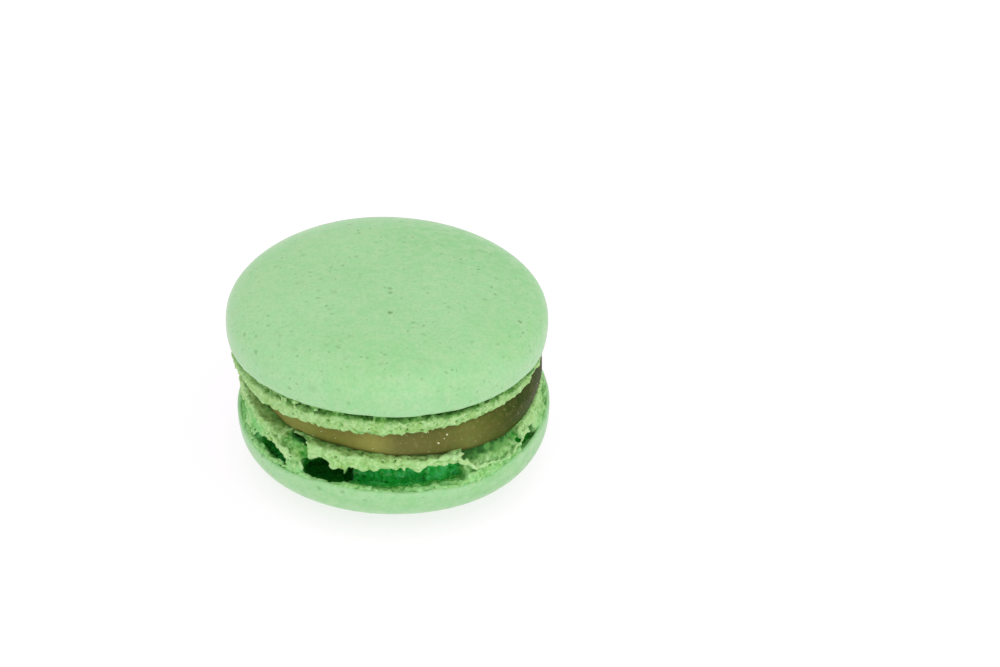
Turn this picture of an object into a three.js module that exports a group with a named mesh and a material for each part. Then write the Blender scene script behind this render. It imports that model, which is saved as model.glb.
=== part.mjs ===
// A pale green macaron: two baked almond shells, each with its ruffled foot, round a disc of caramel filling.
//
// Units are millimetres. Z is up, and the origin is the centre of the flat spot that the biscuit rests on.
// A bearing is an angle round Z in degrees: 0 is the front (-Y), 90 the right (+X) and 180 the back.
// Every piece is a profile turned round Z, whose rows are then moved in and out, or up and down, by bearing.
import * as THREE from "three";

// Driving sizes
const SHELL_RADIUS = 23.5;
const SHELL_STEPS = 132; // steps round a shell
const FILLING_STEPS = 90;

// Lower shell: its smooth skin faces down, and its foot ends in a ledge that the filling sits in
const REST_RADIUS = 8; // flat spot under the dome
const LOWER_WIDEST_Z = 8.7;
const LOWER_RIM_Z = 9.1; // where the skin ends and the foot begins
const LOWER_ROUNDNESS = 2.64; // 2 is an ellipse, more is squarer
const LEDGE_UNDER_Z = 12.3;
const LOWER_SEAT_Z = 13.6; // in the middle, under the filling
const SEAT_HEIGHTS = [
  [-180, 13.8], [-100, 13.5], [-75, 13.2], [-50, 13.2], [-36, 13.7], [-20, 13.9], [8, 13.8], [28, 13.1], [48, 12.5],
  [62, 12.4], [100, 13.4], [180, 13.8],
]; // bearing and height of the seat's outer part: the filling sank in at the right
const LEDGE_HEIGHTS = [
  [-180, 14.2], [-95, 14.1], [-77, 13.9], [-50, 13.8], [-36, 14.2], [-20, 14.2], [0, 14.0], [20, 13.7],
  [30, 13.2], [48, 12.6], [62, 12.5], [80, 13.2], [110, 13.8], [180, 14.2],
]; // bearing and height of the ledge's edge

// Upper shell, in its own frame: Z is 0 at the edge of its skin
const UPPER_DOME = 8.7;
const UPPER_WIDEST = 2.3;
const UPPER_ROUNDNESS = 2.9;
const UPPER_FOOT = 3.2; // how far the foot reaches below the skin's edge
const UPPER_FOOT_HANG = [
  [-180, 0], [-100, 0.1], [-75, 0.7], [-45, 0.7], [-15, 0], [180, 0],
]; // bearing, and how much further the foot's edge hangs down
const UPPER_PLACE = new THREE.Vector3(-0.8, 0, 21.6);
const UPPER_ROLL = THREE.MathUtils.degToRad(2.3); // its right side is a little lower
const UPPER_PITCH = THREE.MathUtils.degToRad(-1.5); // and so is its back

// Filling
const FILLING_RADIUS = 20.9;
const FILLING_OFFSET_X = 0.7; // it was pressed out further to the right
const FILLING_PUSHES = [
  [-180, -0.4], [-95, -0.7], [-78, -1.2], [-58, -1.2], [-44, -0.7], [-20, -0.6], [-10, -0.3], [0, 0], [90, 0],
  [180, -0.4],
]; // bearing, and how far its side lies out or in
const FILLING_BULGE = 0.55;
const CLEARANCE = 0.35; // between pieces that touch

// Hollows in the lower foot, where the crumb tore open as it baked: two bearings, the depth, and how far the floor
// drops towards the back
const HOLLOWS = [
  { from: -67, to: -42, depth: 4.6, drop: 2.6 },
  { from: -34, to: -13, depth: 10.0, drop: 4.2 },
  { from: -19, to: 28, depth: 4.2, drop: 1.6 },
  { from: 59, to: 71, depth: 4.4, drop: 2.4 },
  { from: 84, to: 108, depth: 3.4, drop: 1.2 },
  { from: 126, to: 158, depth: 4.6, drop: 2.0 },
  { from: 183, to: 197, depth: 3.0, drop: 1.0 },
  { from: 212, to: 239, depth: 5.0, drop: 2.4 },
  { from: 248, to: 262, depth: 1.8, drop: 0.3 },
];

// Stretches where the ledge above the hollows has crumbled away
const LEDGE_BREAKS = [
  { from: -46, to: -34, depth: 1.8 },
  { from: 28, to: 56, depth: 2.3 },
  { from: 112, to: 124, depth: 1.6 },
  { from: 164, to: 180, depth: 1.8 },
];
const STRETCH_EASE = 3; // degrees over which a hollow or a break starts and ends

// Repeatable random numbers from 0 to 1.
function seededRandom(seed) {
  let state = seed >>> 0;
  return () => {
    state = (Math.imul(state, 1664525) + 1013904223) >>> 0;
    return state / 2 ** 32;
  };
}

// An uneven line that closes on itself: waves of whole numbers of turns, each with its own phase.
function unevenLine(seed, turns, height) {
  const random = seededRandom(seed);
  const waves = turns.map((turn) => ({ turn, phase: 2 * Math.PI * random() }));
  const share = height / Math.sqrt(turns.length);
  return (bearing) => {
    const angle = THREE.MathUtils.degToRad(bearing);
    return waves.reduce((sum, wave) => sum + share * Math.sin(wave.turn * angle + wave.phase), 0);
  };
}

// A line through points [bearing, value], easing from each to the next.
function through(points, bearing) {
  const turned = THREE.MathUtils.euclideanModulo(bearing + 180, 360) - 180;
  const next = points.findIndex(([place]) => place > turned);
  const [before, low] = points[next - 1];
  const [after, high] = points[next];
  return THREE.MathUtils.lerp(low, high, THREE.MathUtils.smoothstep(turned, before, after));
}

// How deep a bearing lies in a list of stretches, easing in and out at their ends. The measure is depth or drop.
function stretchDepth(stretches, bearing, measure = "depth") {
  const inside = ({ from, to }) => {
    const past = THREE.MathUtils.euclideanModulo(bearing - from, 360);
    const left = to - from - past;
    const edge = Math.min(past, left) / STRETCH_EASE;
    return THREE.MathUtils.smoothstep(edge, 0, 1);
  };
  return stretches.reduce((depth, s) => Math.max(depth, s[measure] * inside(s)), 0);
}

// The outlines are a little off round. The angle runs from +X towards +Y.
function lowerOutline(angle) {
  return 1 - 0.004 * Math.sin(2 * angle) - 0.006 * Math.cos(3 * angle) - 0.008 * Math.cos(4 * angle);
}
function upperOutline(angle) {
  return 1 + 0.004 * Math.sin(2 * angle) - 0.009 * Math.sin(3 * angle) + 0.003 * Math.sin(4 * angle);
}

// Radius of a rounded dome at a share of the way from its widest ring to its crown, and its height there.
function domeRow(share, height, roundness) {
  const angle = (share * Math.PI) / 2;
  return {
    r: SHELL_RADIUS * Math.cos(angle) ** (2 / roundness),
    z: height * Math.sin(angle) ** (2 / roundness),
  };
}

// Turns rows of { r, z, out, up } round Z into one closed mesh. out and up are optional functions of the bearing.
function turnedPiece(name, rows, steps, outline, material, offsetX = 0) {
  const profile = rows.map((row) => new THREE.Vector2(row.r, row.z));
  const geometry = new THREE.LatheGeometry(profile, steps).rotateX(Math.PI / 2);
  const position = geometry.getAttribute("position");
  for (let i = 0; i < position.count; i++) {
    const row = rows[i % rows.length];
    const step = Math.floor(i / rows.length) % steps; // the last step closes on the first
    const bearing = (step * 360) / steps;
    const angle = THREE.MathUtils.degToRad(bearing - 90);
    const wave = row.r > 0 ? outline(angle) : 1;
    const r = (row.r + (row.out ? row.out(bearing) : 0)) * wave;
    const z = row.z + (row.up ? row.up(bearing, r) : 0);
    position.setXYZ(i, offsetX + r * Math.cos(angle), r * Math.sin(angle), z);
  }
  geometry.computeVertexNormals();
  const mesh = new THREE.Mesh(geometry, material);
  mesh.name = name;
  return mesh;
}

const shellMaterial = new THREE.MeshStandardMaterial({ color: 0xa6daa0, roughness: 0.62, metalness: 0 });
const fillingMaterial = new THREE.MeshStandardMaterial({ color: 0x8a7540, roughness: 0.42, metalness: 0 });

// Lower shell
function lowerShell() {
  const dome = [];
  const restShare = 1 - (REST_RADIUS / SHELL_RADIUS) ** LOWER_ROUNDNESS;
  const depth = LOWER_WIDEST_Z / restShare ** (1 / LOWER_ROUNDNESS);
  for (const share of [0.7, 0.52, 0.38, 0.26, 0.15, 0]) {
    const row = domeRow(share, depth, LOWER_ROUNDNESS);
    dome.push({ r: row.r, z: LOWER_WIDEST_Z - row.z });
  }
  const hollow = (bearing) => stretchDepth(HOLLOWS, bearing);
  const drop = (bearing) => -stretchDepth(HOLLOWS, bearing, "drop");
  const broken = (bearing) => stretchDepth(LEDGE_BREAKS, bearing);
  const seat = (bearing) => through(SEAT_HEIGHTS, bearing);
  const ledge = (bearing) => through(LEDGE_HEIGHTS, bearing);
  const frill = unevenLine(11, [7, 13, 23, 34, 41], 0.28);
  const lip = unevenLine(12, [9, 17, 28, 39], 0.2);
  const ledgeEdge = unevenLine(13, [5, 11, 19, 31, 43], 0.34);
  const ledgeHeight = unevenLine(14, [3, 8, 14, 27, 37], 0.2);
  const crumb = unevenLine(15, [21, 33, 47, 52], 0.26);
  const sag = (bearing) => -0.3 * broken(bearing);
  const rows = [
    { r: 0, z: 0 },
    { r: REST_RADIUS, z: 0 },
    ...dome,
    { r: 23.4, z: LOWER_RIM_Z - 0.15, up: (b) => 0.5 * lip(b) },
    { r: 22.9, z: LOWER_RIM_Z + 0.1, up: (b) => 0.5 * lip(b) },
    { r: 22.7, z: LOWER_RIM_Z + 0.45, out: (b) => 0.7 * frill(b), up: lip },
    { r: 22.0, z: LOWER_RIM_Z + 0.5, out: crumb, up: lip },
    { r: 21.7, z: LOWER_RIM_Z + 0.6, out: (b) => crumb(b + 5) - hollow(b), up: drop },
    { r: 22.0, z: LOWER_RIM_Z + 2.0, out: (b) => frill(b + 8) - 1.04 * hollow(b) - 0.5 * broken(b) },
    { r: 21.8, z: LEDGE_UNDER_Z - 0.1, out: (b) => crumb(b + 17) - hollow(b) - 0.8 * broken(b), up: sag },
    { r: 21.9, z: LEDGE_UNDER_Z, out: (b) => ledgeEdge(b + 2) - broken(b), up: (b) => lip(b + 9) + sag(b) },
    { r: 22.2, z: LEDGE_UNDER_Z + 0.75, out: (b) => ledgeEdge(b) - 1.1 * broken(b), up: sag },
    { r: 21.7, z: 0, out: (b) => crumb(b + 31) - 1.1 * broken(b), up: (b) => ledge(b) + ledgeHeight(b) + sag(b) },
    { r: 20.7, z: 0, out: (b) => -0.8 * broken(b), up: (b) => ledge(b) - 0.1 + sag(b) },
    { r: 20.4, z: 0, out: (b) => -0.7 * broken(b), up: (b) => seat(b) + sag(b) },
    { r: 18.6, z: 0, up: seat },
    { r: 16.5, z: LOWER_SEAT_Z },
    { r: 0, z: LOWER_SEAT_Z },
  ];
  return turnedPiece("lower_shell", rows, SHELL_STEPS, lowerOutline, shellMaterial);
}

// Upper shell
function upperShell() {
  const dome = [];
  for (const share of [0, 0.15, 0.28, 0.42, 0.56, 0.7, 0.84]) {
    const row = domeRow(share, UPPER_DOME - UPPER_WIDEST, UPPER_ROUNDNESS);
    dome.push({ r: row.r, z: UPPER_WIDEST + row.z });
  }
  const edge = unevenLine(21, [6, 15, 26, 38], 0.16);
  const crevice = unevenLine(22, [8, 14, 25, 37], 0.3);
  const frill = unevenLine(23, [10, 19, 29, 42, 51], 0.3);
  const teeth = unevenLine(24, [16, 27, 35, 46, 58], 0.26);
  const hang = (bearing) => through(UPPER_FOOT_HANG, bearing);
  const rows = [
    { r: 0, z: 0.3 - UPPER_FOOT },
    { r: 17, z: 0.3 - UPPER_FOOT },
    { r: 20.4, z: 0.2 - UPPER_FOOT, up: (b) => 0.5 * teeth(b + 4) },
    { r: 21.9, z: -UPPER_FOOT, out: frill, up: (b) => teeth(b) - hang(b) },
    { r: 22.5, z: 0.55 - UPPER_FOOT, out: (b) => frill(b + 1), up: (b) => 0.6 * teeth(b) - 0.8 * hang(b) },
    { r: 22.7, z: -1.75, out: (b) => frill(b + 12), up: (b) => -0.5 * hang(b) },
    { r: 22.6, z: -0.95, out: (b) => frill(b + 25) },
    { r: 22.2, z: -0.5, out: crevice },
    { r: 22.7, z: -0.12, up: edge },
    { r: 23.3, z: 0.1, up: edge },
    ...dome,
    { r: 0, z: UPPER_DOME },
  ];
  const mesh = turnedPiece("upper_shell", rows, SHELL_STEPS, upperOutline, shellMaterial);
  mesh.position.copy(UPPER_PLACE);
  mesh.rotation.set(UPPER_PITCH, UPPER_ROLL, 0);
  return mesh;
}

// Height, at a place (x, y), of the tilted plane that lies at a height of the upper shell's own frame.
function upperPlaneHeight(x, y, ownHeight) {
  const tilt = new THREE.Euler(UPPER_PITCH, UPPER_ROLL, 0);
  const normal = new THREE.Vector3(0, 0, 1).applyEuler(tilt);
  const point = normal.clone().multiplyScalar(ownHeight).add(UPPER_PLACE);
  return point.z - (normal.x * (x - point.x) + normal.y * (y - point.y)) / normal.z;
}

// Filling: a soft disc whose side bulges out between the two shells
function filling() {
  const rim = unevenLine(31, [2, 3, 5, 8, 13], 0.3);
  const lowFace = LOWER_SEAT_Z + CLEARANCE;
  const lowEdge = (bearing) => through(SEAT_HEIGHTS, bearing) + 0.22 + CLEARANCE;
  const side = (bearing) => rim(bearing) + through(FILLING_PUSHES, bearing);
  const highFace = 0.3 - UPPER_FOOT - CLEARANCE;
  const highEdge = -0.26 - UPPER_FOOT - CLEARANCE;
  const top = (height) => (bearing, r) => {
    const angle = THREE.MathUtils.degToRad(bearing - 90);
    return upperPlaneHeight(FILLING_OFFSET_X + r * Math.cos(angle), r * Math.sin(angle), height);
  };
  const sideHeight = (share) => (bearing, r) =>
    THREE.MathUtils.lerp(lowEdge(bearing), top(highEdge)(bearing, r), share);
  const sideRow = (share) => ({
    r: FILLING_RADIUS + FILLING_BULGE * Math.sin(Math.PI * share),
    z: 0,
    out: side,
    up: sideHeight(share),
  });
  const rows = [
    { r: 0, z: lowFace },
    { r: 15.8, z: lowFace },
    { r: 18.2, z: 0, up: lowEdge },
    { r: FILLING_RADIUS - 0.5, z: 0, out: side, up: lowEdge },
    ...[0.12, 0.35, 0.6, 0.86].map(sideRow),
    { r: FILLING_RADIUS - 0.6, z: 0, out: side, up: top(highEdge) },
    { r: 16.5, z: 0, up: top(highEdge) },
    { r: 14, z: 0, up: top(highFace) },
    { r: 0, z: 0, up: top(highFace) },
  ];
  const round = () => 1;
  return turnedPiece("filling", rows, FILLING_STEPS, round, fillingMaterial, FILLING_OFFSET_X);
}

const macaron = new THREE.Group();
macaron.add(lowerShell(), filling(), upperShell());

export default macaron;
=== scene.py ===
# %% [markdown]
# # A pale green macaron
#
# A macaron is two baked almond shells with a soft filling between them. Each shell has a smooth, thin skin
# and, under its edge, a rough ring of crumb that bakers call the foot. This one lies flat. The lesson turns
# the skins from a profile, carves the feet out of a volume of crumb and pours the caramel between them.
# Lengths are in metres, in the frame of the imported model.

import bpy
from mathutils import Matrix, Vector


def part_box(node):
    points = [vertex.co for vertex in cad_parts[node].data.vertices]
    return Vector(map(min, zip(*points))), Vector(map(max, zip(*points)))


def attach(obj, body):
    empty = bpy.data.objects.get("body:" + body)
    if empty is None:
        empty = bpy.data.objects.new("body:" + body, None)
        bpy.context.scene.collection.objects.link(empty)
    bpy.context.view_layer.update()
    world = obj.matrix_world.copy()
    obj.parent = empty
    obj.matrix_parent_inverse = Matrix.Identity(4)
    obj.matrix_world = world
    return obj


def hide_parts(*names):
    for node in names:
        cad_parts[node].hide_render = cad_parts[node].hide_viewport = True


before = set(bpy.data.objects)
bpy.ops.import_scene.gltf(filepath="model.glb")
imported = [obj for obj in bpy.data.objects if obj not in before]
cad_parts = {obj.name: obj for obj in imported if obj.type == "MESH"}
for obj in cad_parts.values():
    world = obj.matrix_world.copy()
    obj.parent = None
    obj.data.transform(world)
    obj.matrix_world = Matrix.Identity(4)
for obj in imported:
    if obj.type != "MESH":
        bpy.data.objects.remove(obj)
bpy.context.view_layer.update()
print("nodes of the frame:", sorted(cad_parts))

# %% Libraries and the small unit
import math

import bpy
import numpy as np
from mathutils import Euler, Vector, noise

MM = 0.001
scene = bpy.context.scene
print("Blender", bpy.app.version_string)

# %% [markdown]
# ## Where we stand
#
# The camera looks down from in front, through a long lens, so the shells hardly narrow towards the back.
# Blender wants the focal length in millimetres of a sensor, so it is worked out from pixels.

# %% Camera
IMAGE_WIDTH = 1000
FOCAL_PIXELS = 2935
SENSOR_WIDTH = 36.0
CAMERA_ELEVATION = math.radians(34.7)
CAMERA_DISTANCE = 430 * MM
CAMERA_TARGET = Vector((15.67, 0, 20.7)) * MM

camera_data = bpy.data.cameras.new("camera")
camera_data.sensor_width = SENSOR_WIDTH
camera_data.lens = FOCAL_PIXELS * SENSOR_WIDTH / IMAGE_WIDTH
camera_data.clip_start = 10 * MM
camera = bpy.data.objects.new("camera", camera_data)
towards_camera = Vector((0, -math.cos(CAMERA_ELEVATION), math.sin(CAMERA_ELEVATION)))
camera.location = CAMERA_TARGET + CAMERA_DISTANCE * towards_camera
camera.rotation_euler = towards_camera.to_track_quat("Z", "Y").to_euler()
scene.collection.objects.link(camera)
scene.camera = camera
print("lens in mm:", round(camera_data.lens, 1))

# %% [markdown]
# ## Formulas that build nodes
#
# Crumb and colour are both described by formulas, and Blender wants a formula as nodes. Wiring them by hand
# hides the idea. So a Wire stands for one socket, and arithmetic on wires adds nodes.

# %% Wire
class Wire:
    """An output socket that can be used in a Python expression."""

    def __init__(self, recipe, socket):
        self.recipe = recipe
        self.socket = socket

    def also(self, name):
        return Wire(self.recipe, self.socket.node.outputs[name])

    def part(self, axis):
        return self.recipe.add("ShaderNodeSeparateXYZ", {}, {0: self}, axis)

    def math(self, operation, *terms):
        return self.recipe.math(operation, self, *terms)

    def __add__(self, other):
        return self.math("ADD", other)

    def __sub__(self, other):
        return self.math("SUBTRACT", other)

    def __rsub__(self, other):
        return self.recipe.math("SUBTRACT", other, self)

    def __mul__(self, other):
        return self.math("MULTIPLY", other)

    def __truediv__(self, other):
        return self.math("DIVIDE", other)

    def __rtruediv__(self, other):
        return self.recipe.math("DIVIDE", other, self)

    __radd__ = __add__
    __rmul__ = __mul__

    def low(self, other):
        return self.math("MINIMUM", other)

    def high(self, other):
        return self.math("MAXIMUM", other)

    def soft_low(self, other, blend):
        return self.math("SMOOTH_MIN", other, blend)

    def soft_high(self, other, blend):
        return self.math("SMOOTH_MAX", other, blend)

    def step(self, start, end):
        """0 before start, 1 after end, smooth between them."""
        settings = {"interpolation_type": "SMOOTHSTEP"}
        return self.recipe.add("ShaderNodeMapRange", settings, {"Value": self, 1: start, 2: end})


# %% [markdown]
# A Recipe is the tree that the wires run through. Its add method makes and joins a node and returns a wire.
# The same two classes serve the geometry and the materials.

# %% Recipe
MIX_SOCKETS = {"FLOAT": (2, 3, 0), "RGBA": (6, 7, 2)}  # A, B and Result of a Mix node


class Recipe:
    """A node tree and the methods that add nodes to it."""

    def __init__(self, tree):
        self.tree = tree
        self.start = None  # the Group Input, where the tree has one

    def put(self, socket, value):
        if isinstance(value, Wire):
            self.tree.links.new(value.socket, socket)
        else:
            socket.default_value = value

    def add(self, kind, settings=None, sockets=None, out=0):
        node = self.tree.nodes.new(kind)
        for name, value in (settings or {}).items():
            if name == "stops":
                set_stops(node.color_ramp, value)
            elif name == "points":
                set_points(node.mapping, value)
            else:
                setattr(node, name, value)
        for name, value in (sockets or {}).items():
            self.put(node.inputs[name], value)
        return Wire(self, node.outputs[out]) if node.outputs else node

    def mix(self, factor, first, second, kind="RGBA", blend="MIX"):
        a, b, result = MIX_SOCKETS[kind]
        settings = {"data_type": kind}
        if kind == "RGBA":
            settings["blend_type"] = blend
        return self.add("ShaderNodeMix", settings, {0: factor, a: first, b: second}, result)

    def math(self, operation, *terms):
        return self.add("ShaderNodeMath", {"operation": operation}, dict(enumerate(terms)))

    def vector(self, operation, *terms, out=0):
        return self.add("ShaderNodeVectorMath", {"operation": operation}, dict(enumerate(terms)), out)

    def scaled(self, vector, factor):
        return self.add("ShaderNodeVectorMath", {"operation": "SCALE"}, {0: vector, "Scale": factor})


def set_stops(ramp, stops):
    while len(ramp.elements) < len(stops):
        ramp.elements.new(1)
    for element, (position, colour) in zip(ramp.elements, stops):
        element.position = position
        element.color = colour


def set_points(mapping, points):
    curve = mapping.curves[0]
    while len(curve.points) < len(points):
        curve.points.new(0.5, 0.5)
    for point, place in zip(curve.points, points):
        point.location = place
    mapping.update()


# %% [markdown]
# ## Patterns in millimetres
#
# Noise and Voronoi textures give natural unevenness. Their Scale counts repeats per metre, which says little
# about a biscuit, so these helpers take the size of one lump instead.

# %% Noise, cells and curves by size
def lumps(place, size, detail=2.0):
    """Smooth unevenness from about -0.5 to 0.5, with lumps of a size."""
    sockets = {"Vector": place, "Scale": 1 / size, "Detail": detail, "Roughness": 0.55}
    return place.recipe.add("ShaderNodeTexNoise", {"normalize": True}, sockets) - 0.5


def cells(place, size):
    """Distance to the nearest of scattered points, and a random number for that point."""
    near = place.recipe.add("ShaderNodeTexVoronoi", {"feature": "F1"}, {"Vector": place, "Scale": 1 / size})
    return near * size, near.also("Color").part("X")


def curve_through(value, points):
    """A smooth line through (value, height) points, built as a Float Curve from 0 to 1."""
    starts, heights = zip(*points)
    first, last = starts[0], starts[-1]
    floor, top = min(heights), max(heights)
    scaled = [((s - first) / (last - first), (h - floor) / (top - floor)) for s, h in points]
    share = (value - first) / (last - first)
    line = share.recipe.add("ShaderNodeFloatCurve", {"points": scaled}, {"Value": share})
    return line * (top - floor) + floor


# %% [markdown]
# ## The sizes of the shells
#
# These are the sizes of the solids, less a hair so that the looks stay inside them. The frame's boxes are
# printed to compare. A bearing is an angle round Z, 0 at the front and 90 at the right. The shells aren't
# quite round, so a function for each gives how far its outline swings out.

# %% Driving sizes
INSIDE = 0.06 * MM  # the looks stay this far inside the solids' widest places
SHELL_RADIUS = 23.5 * MM - INSIDE
REST_RADIUS = 8 * MM
LOWER_WIDEST = 8.7 * MM
LOWER_RIM = 9.1 * MM
LOWER_ROUNDNESS = 2.64
UPPER_DOME = 8.7 * MM - INSIDE
UPPER_WIDEST = 2.3 * MM
UPPER_ROUNDNESS = 2.9
UPPER_FOOT = 3.2 * MM
UPPER_PLACE = Vector((-0.8, 0, 21.6)) * MM
UPPER_TURN = Euler((math.radians(-1.5), math.radians(2.3), 0))
for node in ("lower_shell", "upper_shell"):
    low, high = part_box(node)
    print(node, "is", round((high.x - low.x) / MM, 1), "mm wide and ends", round(high.z / MM, 1), "mm up")


def lower_outline(angle):
    return 1 - 0.004 * np.sin(2 * angle) - 0.006 * np.cos(3 * angle) - 0.008 * np.cos(4 * angle)


def upper_outline(angle):
    return 1 + 0.004 * np.sin(2 * angle) - 0.009 * np.sin(3 * angle) + 0.003 * np.sin(4 * angle)


# %% [markdown]
# ## Turning a skin
#
# The skin dried before the biscuit rose, so it is a thin smooth cap with a crisp edge. A potter's way suits
# it: draw half its outline and turn it. Points spread evenly along the outline keep the faces alike in size,
# and the poles close in single points.

# %% A turned mesh
def spread_evenly(points, count):
    """Points at equal distances along a line of (r, z) points."""
    points = np.array(points)
    lengths = np.r_[0, np.cumsum(np.hypot(*np.diff(points, axis=0).T))]
    places = np.linspace(0, lengths[-1], count)
    return np.stack([np.interp(places, lengths, points[:, i]) for i in (0, 1)], axis=1)


def turned_mesh(name, rows, steps):
    """Turns rows of (r, z) round Z. The first and last lie on the axis and become single points."""
    angles = 2 * np.pi * np.arange(steps) / steps
    rings = []
    for r, z in rows[1:-1]:
        rings.append(np.stack([r * np.cos(angles), r * np.sin(angles), np.full(steps, z)], axis=1))
    verts = np.concatenate([[[0, 0, rows[0][1]]], *rings, [[0, 0, rows[-1][1]]]])
    last = len(verts) - 1
    faces = []
    for step in range(steps):
        after = (step + 1) % steps
        faces.append((0, 1 + after, 1 + step))
        faces.append((last, last - steps + step, last - steps + after))
        for ring in range(len(rings) - 1):
            near = 1 + ring * steps
            faces.append((near + step, near + after, near + steps + after, near + steps + step))
    mesh = bpy.data.meshes.new(name)
    mesh.from_pydata(verts.tolist(), [], faces)
    return mesh


# %% [markdown]
# Moving points one by one is slow in Python. Blender hands them out as one array, numpy moves them all at
# once, and the array goes back into the mesh.

# %% Points of a mesh
def points_of(mesh):
    flat = np.zeros(3 * len(mesh.vertices), np.float32)
    mesh.vertices.foreach_get("co", flat)
    return flat.reshape(-1, 3).astype(float)


def set_points_of(mesh, points):
    mesh.vertices.foreach_set("co", points.astype(np.float32).ravel())
    mesh.update()


def bearing_of(points):
    """Degrees round Z: 0 at the front, 90 at the right."""
    return np.degrees(np.arctan2(points[:, 0], -points[:, 1]))


def by_bearing(points, line):
    """Metres for each point, between (bearing, millimetres) stops."""
    return np.interp(bearing_of(points), *zip(*line)) * MM


def piece_from(mesh, name, smooth=True):
    """Puts a mesh in the scene as a piece that stands at the origin."""
    mesh.name = name
    mesh.polygons.foreach_set("use_smooth", [smooth] * len(mesh.polygons))
    piece = bpy.data.objects.new(name, mesh)
    scene.collection.objects.link(piece)
    return piece


# %% [markdown]
# Slow noises and the shell's own outline take away what looks machined after turning, and the upper shell is
# tilted.

# %% Shaping a skin
def superellipse(height, roundness, start, end, count=200):
    """Points of a rounded quarter. Share 0 is the widest ring, 1 the crown."""
    share = np.linspace(start, end, count) * math.pi / 2
    r = SHELL_RADIUS * np.abs(np.cos(share)) ** (2 / roundness)
    z = height * np.abs(np.sin(share)) ** (2 / roundness)
    return list(zip(r, z))


def wavy(points, size, seed):
    """A smooth random number, about -1 to 1, for each point."""
    shift = Vector((seed * 7.1, seed * 3.7, seed * 5.3))
    return np.array([noise.noise(Vector(p) / size + shift) for p in points])


def to_outline(points, outline):
    """Swings round points out to a shell's own outline."""
    wave = outline(np.arctan2(points[:, 1], points[:, 0]))
    return points * np.stack([wave, wave, np.ones(len(points))], axis=1)


def to_upper_place(points):
    """Tilts points of the upper shell's own frame and sets them on the biscuit."""
    turn = np.array(UPPER_TURN.to_matrix())
    return points @ turn.T + np.array(UPPER_PLACE)


# %% [markdown]
# ### The upper skin
#
# Its dome is a superellipse, flatter on top and rounder at the shoulder than an ellipse. The edge tucks
# under by half a millimetre. Very shallow swells break up the reflection, as on piped batter.

# %% Upper skin
SKIN_STEPS = 360  # points round each ring
UPPER_SKIN_ROWS = 120
SWELL = 0.07 * MM
EDGE_WAVE = 0.2 * MM

dome = superellipse(UPPER_DOME - UPPER_WIDEST, UPPER_ROUNDNESS, 1, 0)
cap = [(r, z + UPPER_WIDEST) for r, z in dome]
tuck = [(r * MM, z * MM) for r, z in ((23.38, 1.1), (23.25, 0.4), (23.05, 0.12), (22.75, 0.0))]
rows = list(spread_evenly(cap + tuck, UPPER_SKIN_ROWS))
rows += [(r * MM, z * MM) for r, z in ((22.3, 0.12), (21.5, 0.5), (12, 0.6), (0, 0.6))]
upper_skin_mesh = turned_mesh("upper_skin", rows, SKIN_STEPS)

round_points = points_of(upper_skin_mesh)
near_edge = np.clip(1 - round_points[:, 2] / (2.0 * MM), 0, 1)
swell = SWELL * (wavy(round_points, 9 * MM, 1) - 1) * 0.5
swell += 0.3 * SWELL * (wavy(round_points, 3 * MM, 2) - 1) * 0.5
round_points[:, 2] += swell * (1 - near_edge) + EDGE_WAVE * near_edge * wavy(round_points, 2.6 * MM, 3)
set_points_of(upper_skin_mesh, to_upper_place(to_outline(round_points, upper_outline)))
upper_skin = piece_from(upper_skin_mesh, "upper_skin")
print("upper skin:", len(upper_skin_mesh.polygons), "faces")

# %% [markdown]
# ### The lower skin
#
# The same crust, upside down: the biscuit rests on a small flat spot of its dome. It is a bowl with a thin
# wall, because torn hollows reach down into it. Its edge rises and falls round the biscuit.

# %% Lower skin
LOWER_SKIN_ROWS = 110
CRUST = 0.7 * MM
EDGE_FOOT = 5.5 * MM  # below this height the waves of the edge have died out
EDGE_HEIGHTS = [
    (-180, 0.1), (-120, 0.1), (-78, 0.3), (-66, -0.2), (-52, -0.3), (-43, -0.4), (-25, 0.15), (-10, 0.0),
    (5, -0.15), (16, -0.1), (29, -0.5), (38, -0.2), (50, 0.35), (66, 0.6), (110, 0.2), (180, 0.1),
]  # bearing, and millimetres above the rim

rest_share = 1 - (REST_RADIUS / SHELL_RADIUS) ** LOWER_ROUNDNESS
LOWER_DEPTH = LOWER_WIDEST / rest_share ** (1 / LOWER_ROUNDNESS)


def bowl_radius(z):
    """Radius of the lower skin's outside at a height, up to its widest ring."""
    share = np.clip((LOWER_WIDEST - z) / LOWER_DEPTH, 0, 1)
    return SHELL_RADIUS * (1 - share**LOWER_ROUNDNESS) ** (1 / LOWER_ROUNDNESS)


outside = [(bowl_radius(z), z) for z in np.linspace(0, LOWER_WIDEST, 400)]
lip = [(r * MM, LOWER_RIM + z * MM) for r, z in ((23.42, -0.15), (23.2, 0.02), (22.9, 0.04))]
inside = [(bowl_radius(z) - CRUST, z) for z in np.linspace(LOWER_WIDEST, 2 * CRUST, 24)]
rows = [(0, 0)] + list(spread_evenly(outside + lip, LOWER_SKIN_ROWS)) + inside + [(0, CRUST)]
lower_skin_mesh = turned_mesh("lower_skin", rows[::-1], SKIN_STEPS)

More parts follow.
